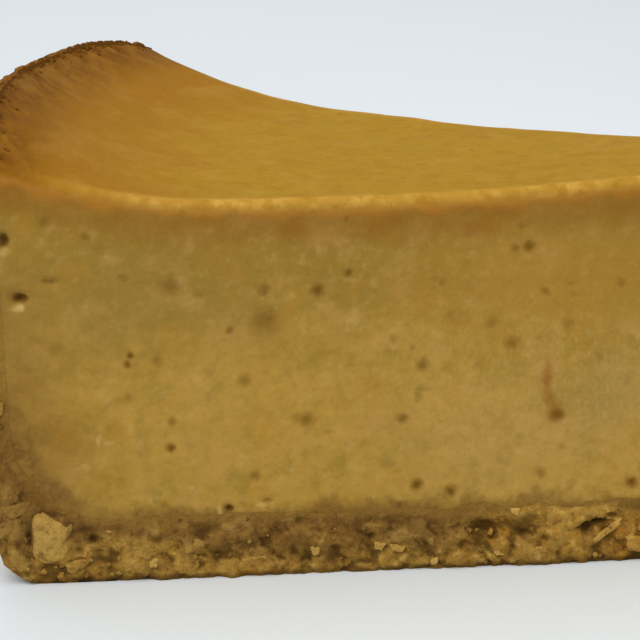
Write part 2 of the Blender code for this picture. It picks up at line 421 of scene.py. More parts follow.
filling = {
    "custardUpper": (147, 115, 45),
    "custardLower": (171, 134, 57),
    "olive": (139, 115, 44),
    "pinkish": (176, 136, 72),
    "amber": (168, 120, 38),
    "paleCurd": (192, 158, 92),
    "underEdge": (163, 108, 37),  # the baked layer just under the top edge
    "bakedBand": (138, 95, 31),
    "topColour": (160, 122, 26),
    "topWarm": (151, 103, 17),
    "topMottle": (141, 98, 12),
    "rimBrown": (112, 66, 2),
    # the next two: a painted highlight along the cut faces' rounded top edge, with paler blotches in it; the first gold
    # also mottles the top
    "goldMottleAndEdgeHighlight": (176, 132, 50),
    "edgeHighlightPale": (200, 158, 70),
    "nearCrust": (134, 101, 43),
    "inCorner": (116, 83, 37),
    "darkCrumb": (84, 56, 24),
    "speck": (98, 62, 0),
    "streak": (134, 82, 16),
    # painted shade inside the pores
    "poreShade": (84, 48, 8),
    "paleFleck": (196, 162, 96),
    "roughness": 0.6,
    "specular": 0.05,
    # noises of the colours: size, detail and roughness
    "noises": {
        "broad": (0.015, 3, 0.55), "cloudy": (0.006, 3, 0.6), "patchy": (0.0031, 3, 0.6),
        "mottled": (0.0014, 2, 0.6), "fine": (0.0006, 2, 0.6),
    },
    "speckEvery": 0.0052,  # size of the cells that hold a small speck each
    "subsurface": {"Weight": 0.12, "Radius": (1.0, 0.6, 0.25), "Scale": 0.0016},
    "bump": (0.35, 0.0006),  # strength and distance
    # layers of colour on the faces and the top: noise, where it starts and is full, greatest share, colour
    "faceLayers": [
        ("broad", 0.52, 0.36, 0.35, "olive"), ("cloudy", 0.5, 0.7, 0.58, "pinkish"),
        ("cloudy", 0.49, 0.3, 0.45, "amber"), ("patchy", 0.5, 0.3, 0.56, "olive"),
        ("mottled", 0.5, 0.8, 0.34, "paleCurd"), ("mottled", 0.5, 0.25, 0.3, "nearCrust"),
    ],
    "topLayers": [
        ("cloudy", 0.48, 0.66, 0.3, "goldMottleAndEdgeHighlight"), ("patchy", 0.52, 0.34, 0.42, "topWarm"),
        ("mottled", 0.52, 0.3, 0.3, "topMottle"),
    ],
    # where tones start and are full, in mm below the top, with the noises added
    "lowerFrom": (17, 38),
    "bandFrom": (10.6, 5.6),
    "underFrom": (4.4, 2.6),
    "topFrom": (1.7, 0.7),
    "edgeHighlightFrom": (3.7, 2.1),  # the painted highlight, from the cut face's top edge
    "stainFrom": (7.7, 4.7),  # above the crust
    "cornerFrom": (6.8, 3.2),  # above the crust
    "warmFrom": (0.8, 1.03),  # as a share of the radius, as the next one is
    "brownFrom": (0.945, 1.022),
    # Spots on the cut face in view are given by distance from the rim, height, half width and half height,
    # in mm. Here the pale curd grains show:
    "curd": (66.0, 22.0, 26.0, 16.0),
    # soft clouds, one of them painted shade on the custard beside the wall: spot, colour and strength
    "clouds": [
        (70.0, 37.5, 30.0, 10.0, (166, 122, 48), 0.55), (62.0, 17.0, 20.0, 11.0, (178, 142, 82), 0.3),
        (15.0, 35.0, 17.0, 11.0, (145, 115, 52), 0.35), (75.5, 22.5, 7.0, 8.0, (150, 126, 70), 0.35),
        (31.0, 33.0, 6.0, 7.0, (140, 108, 54), 0.25), (26.0, 21.0, 11.0, 9.0, (170, 134, 62), 0.3),
        # the first cloud on the next line is the painted shade beside the wall
        (0.5, 30.0, 9.0, 16.0, (132, 99, 44), 0.6), (3.0, 16.5, 14.0, 12.5, (134, 99, 40), 0.62),
    ],
    # brown streaks: spot and strength
    "streaks": [
        (67.2, 24.2, 0.9, 3.4, 0.75), (68.3, 20.2, 1.4, 2.0, 0.6), (67.7, 21.8, 1.0, 1.8, 0.6),
        (36.0, 44.0, 3.6, 1.7, 0.4), (58.0, 43.5, 3.4, 1.6, 0.45), (48.0, 45.0, 2.2, 1.2, 0.3),
        (21.0, 44.6, 2.0, 1.2, 0.3), (13.5, 42.5, 1.0, 0.8, 0.25),
    ],
    # darker spice specks: distance from the rim, height, radius and strength
    "specks": [
        (7.0, 45.8, 0.75, 0.5), (11.6, 43.9, 0.6, 0.4), (16.6, 29.1, 0.55, 0.95), (16.2, 27.9, 0.55, 0.9),
        (7.7, 30.2, 0.9, 0.35), (19.9, 28.3, 0.8, 0.45), (16.2, 23.7, 0.9, 0.35), (21.4, 20.5, 0.7, 0.6),
        (21.2, 17.3, 0.65, 0.9), (28.6, 31.8, 0.6, 0.6), (32.9, 33.0, 1.9, 0.45), (33.2, 33.2, 0.8, 0.6),
        (32.7, 36.6, 0.8, 0.6), (30.2, 25.5, 0.9, 0.4), (37.7, 20.3, 1.1, 0.6), (36.6, 20.5, 0.8, 0.4),
        (31.4, 13.2, 0.7, 0.55), (39.1, 36.4, 0.9, 0.8), (42.7, 38.5, 0.6, 0.75), (48.2, 30.1, 0.6, 0.4),
        (50.5, 29.0, 0.5, 0.4), (51.9, 26.7, 0.9, 0.6), (49.4, 20.0, 0.8, 0.65), (51.3, 22.5, 0.6, 0.4),
        (62.7, 29.1, 1.0, 0.6), (60.3, 31.8, 0.9, 0.4), (69.6, 31.3, 0.8, 0.35), (69.3, 15.5, 0.5, 0.4),
        (68.5, 19.6, 1.0, 0.75), (73.5, 27.0, 0.6, 0.3), (58.6, 26.4, 0.6, 0.3), (55.2, 33.0, 0.5, 0.3),
        (76.0, 36.4, 0.7, 0.35),
        (66.7, 12.2, 0.8, 0.55), (51.3, 11.2, 0.9, 0.9), (55.5, 10.3, 0.9, 0.9), (78.1, 10.5, 0.9, 0.95),
        (64.5, 41.2, 0.75, 0.75), (62.9, 41.0, 0.6, 0.5), (66.6, 35.5, 0.6, 0.55), (54.0, 37.1, 0.5, 0.3),
        (42.3, 48.4, 0.5, 0.6), (41.2, 46.6, 0.4, 0.4), (21.5, 37.6, 1.3, 0.45), (16.0, 38.8, 0.6, 0.4),
    ],
    # pores, sunk and darkened with painted shade: spot and depth in mm
    "pores": [
        (1.9, 43.6, 0.75, 0.85, 1.3), (3.7, 36.5, 1.0, 0.6, 1.3), (7.2, 38.6, 1.0, 0.35, 0.5),
        (28.2, 8.9, 0.6, 0.6, 1.2), (33.0, 9.9, 0.7, 0.3, 0.5),
    ],
    # pale bits: spot and strength
    "paleFlecks": [
        (3.6, 35.4, 0.9, 0.7, 0.9), (2.0, 42.3, 1.0, 0.7, 0.45), (12.6, 18.4, 0.35, 1.1, 0.45),
        (13.9, 18.0, 0.9, 0.4, 0.45), (10.9, 15.1, 0.8, 0.6, 0.35),
        (27.0, 8.8, 0.5, 1.0, 0.6), (32.1, 9.4, 0.7, 0.35, 0.6),
    ],
    "edgeRadius": 0.001,  # of the top's rounded edge along the cut faces
    "edgeUneven": 0.3,  # how much that radius varies, and over what length
    "edgeUnevenSize": 0.006,
    "faceReach": 0.0013,  # how far the cut faces' relief reaches in over the top
    "recess": 0.0014,  # how far the filling lies back behind the crust
    "recessFrom": (0.0007, 0.0015),  # how far past the border that starts and is full
    "stainBesideWall": 0.0018,  # how much narrower the stain is up the wall
    "wallHeights": (0.016, 0.032),
    "stainInCorner": 0.0028,  # how much wider it is in the corner
    # relief: noises as in the wedge, and pits as cell size, radius and easing in cells, and depth
    "facePits": (0.004, 0.15, 0.12, 0.00035),
    "topPits": (0.007, 0.1, 0.1, 0.00022),
    "dimples": [(0.00016, 0.011, 21, 1), (0.00007, 0.0035, 22, 1)],
    "rimDimples": [(0.00014, 0.0017, 24, 1)],
    "rimDimplesFrom": (-0.004, -0.0008),
    "dimplePower": 18,  # how fast the top's relief fades below the top
    "floorColumns": 205,
    "cornerColumns": 25,
    "rows": 112,
    "rowEasing": 0.94,
    "edgeSteps": 6,
    "topSteps": 50,
    "seed": 3,
}


def fillingMaterial():
    # Custard: an upper and a lower tone under layers of clouds and pale curd, one cloud painted shade beside
    # the wall, a browned band under the top edge, a painted highlight along that edge, a top that browns towards
    # the rim, stains along the crust, specks, streaks, and pores darkened with painted shade
    look = filling
    shader = Shader("custard", look)
    lay, ramp, plus, times, away = shader.lay, shader.ramp, shader.plus, shader.times, shader.away
    names = ["belowTop", "rimShare", "cutEdge", "aboveCrust", "inView"]
    belowTop, rimShare, cutEdge, aboveCrust, inView = shader.attributes(*names)
    broad, cloudy, patchy, mottled, fine = shader.noises.values()
    shader.colour = look["custardUpper"]
    lay(ramp(plus(belowTop, (broad, 22.0)), *look["lowerFrom"]), "custardLower")
    shader.layers(look["faceLayers"])
    # clouds of tone, and one of painted shade beside the wall
    for *spot, cloudColour, strength in look["clouds"]:
        here = ramp(plus(away(shader.place, *spot), (cloudy, 0.8)), 1.5, 0.6, 0, strength)
        lay(times(here, ramp(inView, 0.7, 0.95)), cloudColour)
    tall = shader.vector("MULTIPLY", shader.place, (1.0, 1.0, 0.6))[0]
    curdHere = ramp(away(shader.place, *look["curd"]), 1.0, 0.3, 0.05, 0.22)
    lay(times(ramp(shader.noise(0.00045, 1, 0.5, tall), 0.46, 0.74), curdHere), "paleCurd")
    uneven = plus(belowTop, (patchy, 2.6), (broad, 4.0))
    lay(times(ramp(uneven, *look["bandFrom"]), ramp(cloudy, 0.34, 0.56, 0.95, 0.66)), "bakedBand")
    lay(ramp(plus(belowTop, (patchy, 3.2)), *look["underFrom"], 0, 0.85), "underEdge")
    face = shader.colour
    shader.colour = look["topColour"]
    lay(ramp(plus(rimShare, (broad, 0.16)), *look["warmFrom"]), "topWarm")
    lay(ramp(plus(rimShare, (cloudy, 0.06)), *look["brownFrom"], 0, 0.95), "rimBrown")
    shader.layers(look["topLayers"])
    shader.colour = shader.mix(ramp(plus(belowTop, (mottled, 0.9)), *look["topFrom"]), face, shader.colour)
    # painted highlight along the cut faces' top edge, gold with paler blotches, fading towards the rim
    edge = plus(cutEdge, (belowTop, 1), (mottled, 1.6), (patchy, 1.6))
    edgeHighlight = times(ramp(edge, *look["edgeHighlightFrom"], 0, 0.92), ramp(patchy, 0.34, 0.6, 0.35, 1.0))
    edgeHighlight = times(edgeHighlight, ramp(rimShare, 1.0, 0.8, 0.15, 1.0))
    lay(edgeHighlight, "goldMottleAndEdgeHighlight")
    pale = times(ramp(mottled, 0.42, 0.66), ramp(cloudy, 0.42, 0.56, 0.25, 1.0))
    lay(times(edgeHighlight, pale, ramp(rimShare, 0.95, 0.82, 0.2, 0.9)), "edgeHighlightPale")
    stain = plus(aboveCrust, (patchy, 3.4), (broad, 2.4), (mottled, 2.4), (cloudy, 3.0))
    lay(ramp(stain, *look["stainFrom"], 0, 0.85), "nearCrust")
    stained = times(ramp(stain, *look["cornerFrom"], 0, 0.9), ramp(patchy, 0.62, 0.42, 0.5, 1.0))
    lay(stained, "inCorner")
    lay(times(stained, ramp(mottled, 0.47, 0.64, 0, 0.65)), "custardUpper")
    lay(times(stained, ramp(fine, 0.5, 0.3, 0, 0.6)), "darkCrumb")
    # the outlines of specks and pores wander with a fine noise
    shake = shader.add("ShaderNodeTexNoise", {"Vector": shader.place, "Scale": 900.0}).outputs["Color"]
    shake = shader.vector("SUBTRACT", shake, (0.5, 0.5, 0.5))[0]
    shake = shader.vector("MULTIPLY", shake, (0.0008, 0.0008, 0.0008))[0]
    shaken = shader.vector("ADD", shader.place, shake)[0]
    scatter = shader.add("ShaderNodeTexVoronoi", {"Vector": shaken, "Scale": 1 / look["speckEvery"]}).outputs
    own = shader.add("ShaderNodeSeparateColor", {0: scatter["Color"]}).outputs[0]
    dark = times(ramp(scatter["Distance"], 0.14, 0.02), ramp(own, 0.2, 1.0, 0, 0.75))
    dark = times(dark, ramp(belowTop, 0.4, 1.2, 0.55, 1.0), ramp(inView, 0.2, 0.9, 1.0, 0.45))
    for *spot, strength in look["specks"]:
        dark = shader.larger(dark, ramp(away(shaken, *spot), 1.5, 0.1, 0, strength))
    for *spot, strength in look["streaks"]:
        lay(ramp(away(shaken, *spot), 1.2, 0.0, 0, strength), "streak")
    lay(dark, "speck")
    for *spot, strength in look["paleFlecks"]:
        lay(ramp(away(shaken, *spot), 1.2, 0.2, 0, strength), "paleFleck")
    # painted shade: each pore darkens towards its middle
    poreShadeShare = 0.0
    for *spot, depth in look["pores"]:
        poreShadeShare = shader.larger(poreShadeShare, ramp(away(shaken, *spot, deep=3.0), 1.25, 0.5, 0, min(0.9, 0.6 * depth)))
    lay(poreShadeShare, "poreShade")
    for label, value in look["subsurface"].items():
        shader.surface.inputs["Subsurface " + label].default_value = value
    return shader.finish(plus(times(fine, 0.35), (shader.noise(0.0024, 2), 0.8)), *look["bump"])


def makeFilling(material):
    # Columns run from the tip out and rows from the floor up. Near a cut face the top falls by a quarter
    # circle, and each cut face waves and has pores along its own outward direction.
    look = filling
    corner = np.linspace(0, math.pi / 2, look["cornerColumns"] + 1)[1:]
    foot = np.concatenate([
        np.linspace(0, floorEnd, look["floorColumns"]),
        floorEnd + wedge["innerFillet"] * np.sin(corner),
    ])
    floor = floorHeight(foot) - wedge["sunk"]
    rows = np.linspace(0, 1, look["rows"]) ** look["rowEasing"]
    width = foot * wedge["halfAngle"]
    alongEdge = np.stack([foot, 0 * foot, 0 * foot], axis=1)
    uneven = look["edgeUneven"] * smoothNoise(alongEdge, look["edgeUnevenSize"], look["seed"])
    bend = np.minimum(look["edgeRadius"] * (1 + uneven), 0.45 * width)

    def sideOf(column):
        # close steps over the rounded edges by 1 - cos, and even ones between
        easing = 1 - np.cos(np.linspace(0, math.pi / 2, look["edgeSteps"] + 1))
        middle = np.linspace(0, 1, look["topSteps"] + 1)[1:-1]
        half, rounding = width[column][:, None], bend[column][:, None]
        across = np.concatenate([
            rounding * easing,
            rounding + 2 * (half - rounding) * middle,
            2 * half - rounding * easing[::-1],
        ], axis=1)
        side = np.where(half < 1e-9, np.linspace(1, -1, across.shape[1]), 1 - across / np.maximum(half, 1e-9))
        return side, np.minimum(across, 2 * half - across)

    def fill(column, row, side, offset):
        # the radius leans out with the wall, and the height runs from the floor to the rounded top
        reach = foot[column] / foot[-1]
        roof = topHeight(reach * (wedgeRadius - wedge["wallTop"] + wedge["overlap"]), side)
        inside = np.clip(bend[column] - offset, 0, None)
        drop = bend[column] - np.sqrt(np.clip(bend[column] ** 2 - inside**2, 0, None))
        height = floor[column] + (roof - drop - floor[column]) * row
        lean = wedge["wallFoot"] - wallThickness(upTheWall(height)) + wedge["overlap"]
        return foot[column] + reach * lean, side, height, roof, offset, row

    (radius, side, height, roof, offset, row), faces = carrySection(len(foot), rows, sideOf, fill)
    points = placeAt(radius, side, height)
    fade = awayFromTip(radius)
    nominal = floorHeight(radius, wedge["bite"])
    below = nominal + borderWave(placeAt(radius, side, nominal), nominal) - height
    wallShare = upTheWall(height)
    behind = radius - wedgeRadius + wallThickness(wallShare) + wedge["bite"] * (1 - wallShare)
    sunk = look["recess"] * easeBetween(np.maximum(below, behind), *look["recessFrom"]) * (row < 0.99)
    for face in (1, -1):
        away = np.where(side * face > 0, offset, 1.0)
        closeTo = np.exp(-((away / look["faceReach"]) ** 2)) * fade
        pits = pitsIn(points, look["facePits"], look["seed"] + face + 9)
        push = faceWave(points, face) + pits - sunk
        if face == 1:
            for *spot, depth in look["pores"]:
                push = push - depth / 1000 * np.exp(-squareAway(radius, height, *spot))
        points += (push * closeTo)[:, None] * cutNormal(face)
    onTop = points * [1, 1, 0]
    dimples = addNoises(onTop, look["dimples"]) + pitsIn(onTop, look["topPits"], 23)
    nearRim = easeBetween(radius - wedgeRadius, *look["rimDimplesFrom"])
    dimples += addNoises(onTop, look["rimDimples"]) * nearRim
    points[:, 2] += dimples * row ** look["dimplePower"]
    besideWall = look["stainBesideWall"] * easeBetween(height, *look["wallHeights"])
    wallGap = wedgeRadius - wallThickness(wallShare) - radius + besideWall
    inCorner = easeBetween(radius, floorEnd + 0.002, floorEnd + 0.009) * easeBetween(0.026 - height, 0, 0.008)
    stainedFrom = np.minimum(height - floorHeight(radius), wallGap) - look["stainInCorner"] * inCorner
    attributes = {
        "belowTop": (roof - height) * 1000,
        "rimShare": radius / (wedgeRadius - wallThickness(wallShare)),
        "cutEdge": offset * 1000,
        "aboveCrust": stainedFrom * 1000,
        "inView": side,
    }
    piece = meshPiece("fillingCut", points, faces, material, attributes)
    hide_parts("filling")


# The crumb crust: its looks

crust = {
    "moist": (115, 82, 36),
    "golden": (159, 120, 49),
    "amber": (160, 110, 36),
    "tan": (196, 158, 80),
    "dark": (60, 38, 11),
    "soaked": (134, 101, 43),  # where the filling has soaked in, along their border
    "soakedCorner": (108, 74, 26),
    "soakedWall": (146, 113, 47),
    "toasted": (140, 96, 38),  # the outside, which baked against the tin
    "rimBrown": (124, 78, 20),
    "goldenFrom": (0.0108, 0.006),  # heights between which the golden tone starts, with the noises added
    "browningFrom": (0.045, 0.06),
    "cornerFrom": (0.0085, 0.0115),
    "wallFrom": (0.018, 0.03),
    # noises and layers of colour, as in the filling
    "noises": {
        "broad": (0.0085, 3, 0.6), "clump": (0.0034, 3, 0.6), "grain": (0.0013, 2, 0.6), "grit": (0.00045, 2, 0.65),
    },
    "layers": [
        ("grain", 0.47, 0.28, 0.5, "dark"), ("grit", 0.44, 0.26, 0.3, "dark"), ("grit", 0.58, 0.78, 0.18, "tan"),
    ],
    "bump": (0.65, 0.0007),
    "roughness": 0.75,
    "specular": 0.05,
    # golden parts of the cut face in view, as spots like the filling's
    "goldenParts": [(13.0, 2.4, 11.0, 4.1), (69.0, 3.3, 15.0, 6.2), (86.0, 3.5, 13.0, 4.6), (97.0, 2.0, 12.0, 3.5)],
    "lumpSize": 0.003,
    "lumpRelief": 0.00075,
    "grainSize": 0.0012,
    "grainRelief": 0.00042,
    "gritSize": 0.0007,
    "gritRelief": 0.00009,
    "bent": 0.0005,  # how far, and over what length, the lumps' outlines wander
    "bentSize": 0.0016,
    "crevicePaintedShadeFrom": (0.00008, 0.00044),  # depths between which a crevice darkens with painted shade
    "softFrom": (0.0003, 0.0026),  # distances from the filling between which the relief grows
    "proud": 0.00004,  # how far the crust stands out of the filling, there and elsewhere
    "reliefProud": 0.0002,
    "footHeight": 0.001,  # up to here the foot is drawn in, by this much
    "footIn": 0.00035,
    "rimNoises": [(0.0003, 0.0035, 44, 1)],
    "rimLumps": [(0.0004, 0.0019, 45, 1)],
    "rimLow": 0.0001,
    "rimRound": 0.0005,  # how far the rim's outer edge is rounded down, and its two ends
    # pockets sunk into the cut face in view and darkened with painted shade: spot and depth in mm
    "pockets": [
        (59.9, 5.2, 1.6, 1.0, 1.6), (61.0, 4.2, 0.9, 0.6, 1.0), (72.7, 4.6, 0.8, 0.9, 1.6), (74.4, 5.4, 1.5, 0.35, 1.1),
        (75.8, 6.2, 0.8, 0.35, 0.9), (11.7, 5.4, 0.7, 0.6, 1.3), (10.4, 6.8, 0.7, 0.5, 0.8), (3.9, 6.4, 0.4, 1.3, 0.9),
        (24.0, 3.0, 1.2, 0.6, 0.7), (45.9, 4.6, 0.6, 0.5, 0.8), (30.8, 4.0, 1.1, 0.8, 0.7), (36.9, 7.0, 0.7, 0.6, 0.6),
        (70.7, 7.9, 1.3, 0.25, 0.7), (9.9, 4.2, 0.6, 0.6, 0.7), (64.9, 4.3, 0.8, 0.4, 0.6),
        (9.0, 6.8, 0.5, 1.1, 0.9), (6.2, 8.9, 2.0, 0.4, 0.6), (41.5, 3.2, 0.8, 0.5, 0.6), (34.0, 5.6, 0.8, 0.5, 0.6),
        (52.0, 3.8, 0.9, 0.5, 0.7), (19.6, 5.2, 0.7, 0.5, 0.7), (57.2, 3.0, 0.6, 0.5, 0.6), (67.3, 3.6, 0.6, 0.4, 0.6),
    ],
    "baseColumns": 290,
    "baseRows": 27,
    "baseSteps": 40,
    "cornerColumns": 40,
    "wallColumns": 95,
    "wallRows": 27,
    "wallSteps": 170,
    "seed": 31,
}


def crumbMaterial(name):
    # Pressed crumb: dark and moist under the filling, golden low down, browned on the outside and at the
    # rim, with paler lumps from the tone, painted shade in crevices and pockets and the crumbs' darker tones from
    # one attribute, the outside from its own, and painted shade along the foot
    look = crust
    shader = Shader(name, look)
    lay, ramp, plus, times = shader.lay, shader.ramp, shader.plus, shader.times
    tone, paintedShadeAndDarkTone, outside, border = shader.attributes("tone", "paintedShadeAndDarkTone", "outside", "border")
    broad, clump, grain, grit = shader.noises.values()
    height = shader.add("ShaderNodeSeparateXYZ", {0: shader.place}).outputs["Z"]
    low = ramp(plus(height, (broad, 0.011)), *look["goldenFrom"])
    for spot in look["goldenParts"]:
        away = plus(shader.away(shader.place, *spot), (broad, 0.8))
        low = shader.larger(low, ramp(away, 1.5, 1.0))
    shader.colour = look["moist"]
    lay(plus(times(low, 0.7), (ramp(clump, 0.5, 0.66), 0.35)), "golden")
    lay(ramp(clump, 0.46, 0.34, 0, 0.6), "moist")
    lay(times(ramp(broad, 0.52, 0.66), low), "amber")
    lay(times(outside, ramp(clump, 0.3, 0.6, 0.8, 0.4)), "toasted")
    lay(times(ramp(grain, 0.52, 0.72), ramp(low, 0, 1, 0.14, 0.6)), "tan")
    lay(tone, "tan")
    shader.layers(look["layers"])
    lay(ramp(plus(border, (clump, 3.4), (grain, 2.4)), 4.0, 2.6, 0, 0.85), "soaked")
    onCorner = times(ramp(height, *look["cornerFrom"]), ramp(outside, 0.5, 0.0, 0, 0.6))
    lay(times(onCorner, ramp(clump, 0.6, 0.4, 0.45, 1.0)), "soakedCorner")
    onWall = times(ramp(height, *look["wallFrom"]), ramp(outside, 0.5, 0.0))
    lay(times(onWall, ramp(clump, 0.36, 0.6, 0.95, 0.7)), "soakedWall")
    # painted shade along the foot, darkest where the crust meets the floor
    lay(ramp(height, 0.0011, 0.0002, 0, 0.6), "dark")
    uneven = plus(height, (clump, 0.006), (broad, 0.012))
    lay(ramp(uneven, *look["browningFrom"], 0, 0.92), "rimBrown")
    # painted shade in crevices and pockets, and on the crumbs their own darker tones
    lay(paintedShadeAndDarkTone, "dark")
    return shader.finish(plus(times(grit, 0.45), (grain, 1.0)), *look["bump"])


def crumbRelief(points):
    # humps over scattered lumps, smaller ones over grains, and grit; and a painted shade, 0 to 1, from how deep each
    # point lies
    look = crust
    sway = [smoothNoise(points, look["bentSize"], 91 + axis) for axis in range(3)]
    bent = points + look["bent"] * np.stack(sway, axis=1)
    lump, owner = cellNoise(bent, look["lumpSize"], look["seed"])
    grain, grainOwner = cellNoise(bent, look["grainSize"], look["seed"] + 20)
    height = look["lumpRelief"] * (0.42 - lump + 0.5 * (owner - 0.5))
    height += look["grainRelief"] * (0.45 - grain + 0.5 * (grainOwner - 0.5))
    height += look["gritRelief"] * smoothNoise(points, look["gritSize"], look["seed"] + 3)
    paintedShadeAndDarkTone = easeBetween(-height, *look["crevicePaintedShadeFrom"])
    return height, paintedShadeAndDarkTone, easeBetween(0.6 * owner + 0.4 * grainOwner, 0.5, 1.0)


def makeCrustShell(name, outerR, outerH, innerR, innerH, rows, steps, material):
    # Columns follow the L-shaped section and rows run from its outside in. Cut faces move along their own
    # direction, the outside along the radius, and the rim up or down, by the crumb relief.
    look = crust
    isWall = outerR[-1] > floorEnd + 0.001

    def sideOf(column):
        return np.broadcast_to(np.linspace(1, -1, steps + 1), (len(column), steps + 1)), 0.0

    def fill(column, row, side, offset):
        # between the outside and the inside, which rises and falls at random, lifted with the rim's crown
        spot = placeAt(innerR[column] + 0 * side, side + 0 * innerR[column], innerH[column] + 0 * side)
        wave = borderWave(spot.reshape(-1, 3), spot[..., 2].ravel()).reshape(spot.shape[:-1])
        radius = outerR[column] + (innerR[column] - outerR[column]) * row
        height = outerH[column] + (innerH[column] + wave - outerH[column]) * row
        height = height + upTheWall(height) * (rimHeight(side) - rimHeight(1.0))
        border = np.hypot(innerR - outerR, innerH - outerH)[column] * (1 - row)
        return radius, side, height, row, column + 0 * radius, border

    fields, faces = carrySection(len(outerR), np.linspace(0, 1, rows), sideOf, fill)
    radius, side, height, row, column, border = fields
    points = placeAt(radius, side, height)
    relief, paintedShadeAndDarkTone, tone = crumbRelief(points)
    soft = easeBetween(border, *look["softFrom"])
    paintedShadeAndDarkTone = paintedShadeAndDarkTone * (0.05 + 0.95 * soft)
    pit = np.zeros(len(points))
    for *spot, depth in look["pockets"]:
        pit = np.maximum(pit, np.exp(-(squareAway(radius, height, *spot) ** 1.5)) * depth * (side > 0.999))
    fade = awayFromTip(radius)
    ground = easeBetween(height, 0.0, look["footHeight"])
    shift = np.zeros_like(points)
    for face in (1, -1):
        onCut = (np.abs(side - face) < joinWithin) & (radius > joinWithin)
        push = faceWave(points, face) + look["proud"] + soft * (relief + look["reliefProud"])
        push -= look["footIn"] * (1 - ground) + pit / 1000
        shift += (push * onCut * fade)[:, None] * cutNormal(face)
    outside = (row < joinWithin) & isWall & (height > 10 * joinWithin)
    outward = points - [crustHigh.x, 0, 0]
    outward[:, 2] = 0
    outward /= np.maximum(np.linalg.norm(outward, axis=1), 1e-9)[:, None]
    shift += (0.5 * relief * outside * ground * easeBetween(radius, floorEnd, floorEnd + 0.004))[:, None] * outward
    onRim = isWall & (column > len(outerR) - 1.5)
    rounded = look["rimRound"] * ((1 - row) ** 2 + easeBetween(np.abs(side), 0.88, 1.0))
    rough = relief + addNoises(points, look["rimNoises"]) + np.clip(addNoises(points, look["rimLumps"]), 0, 1)
    shift[:, 2] += onRim * (rough - rounded - look["rimLow"])
    points += shift
    # painted shade: crevices and pockets darken, less on the rim and the outside
    paintedShadeAndDarkTone = np.maximum(paintedShadeAndDarkTone * (1 - 0.8 * onRim - 0.3 * outside), np.clip(pit * 0.8, 0, 1)) * 0.75
    attributes = {
        "tone": 0.3 * tone,
        "paintedShadeAndDarkTone": paintedShadeAndDarkTone,
        "outside": 1.0 * outside,
        "border": border * 1000,
    }
    piece = meshPiece(name, points, faces, material, attributes)
    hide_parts("crust")


def makeCrust(material):
    # the base runs from the tip to where the corner starts, and the wall from there to the rim
    look = crust
    base = np.linspace(0, floorEnd + 0.0001, look["baseColumns"])
    thickness = wedge["baseThickness"] + wedge["bite"]
    under, over = 0 * base, 0 * base + thickness
    makeCrustShell("crustBase", base, under, base, over, look["baseRows"], look["baseSteps"], material)
    flat = wedgeRadius - wedge["outerFillet"] - floorEnd
    bend = wedge["outerFillet"] * math.pi / 2
    share = np.linspace(0, 1, look["cornerColumns"] + 1)
    walked = share * (flat + bend + cornerTop - wedge["outerFillet"])
    turn = np.clip((walked - flat) / wedge["outerFillet"], 0, math.pi / 2)
    cornerR = floorEnd + np.clip(walked, 0, flat) + wedge["outerFillet"] * np.sin(turn)
    cornerH = wedge["outerFillet"] * (1 - np.cos(turn)) + np.clip(walked - flat - bend, 0, None)
    inTurn = share * math.pi / 2
    reach = wedge["innerFillet"] - wedge["bite"]
    climb = np.linspace(0, 1, look["wallColumns"] + 1)[1:]
    wallH = cornerTop + (rimHeight(1.0) - cornerTop) * climb
    outerR = np.concatenate([cornerR, np.full(len(climb), wedgeRadius)])
    outerH = np.concatenate([cornerH, wallH])
    innerWall = wedgeRadius - wallThickness(climb) - wedge["bite"] * (1 - climb)
    innerR = np.concatenate([floorEnd + reach * np.sin(inTurn), innerWall])
    innerH = np.concatenate([cornerTop - reach * np.cos(inTurn), wallH])
    makeCrustShell("crustWall", outerR, outerH, innerR, innerH, look["wallRows"], look["wallSteps"], material)


# Crumbs half sunk in the crust

crumbs = {
    # kind: share of all crumbs, tone towards tan, smallest and largest radius
    "kinds": {
        "crumbsDark": (0.5, 0.0, 0.00022, 0.00065),
        "crumbsGolden": (0.38, 0.16, 0.00022, 0.0007),
        "crumbsPale": (0.12, 0.36, 0.00018, 0.0005),
    },
    "onCuts": 270,
    "onOutside": 1300,
    "onRim": 320,
    "tries": 60000,
    "sunk": 0.7,  # in radii
    "sunkOnRim": 0.15,
    "seed": 71,
}


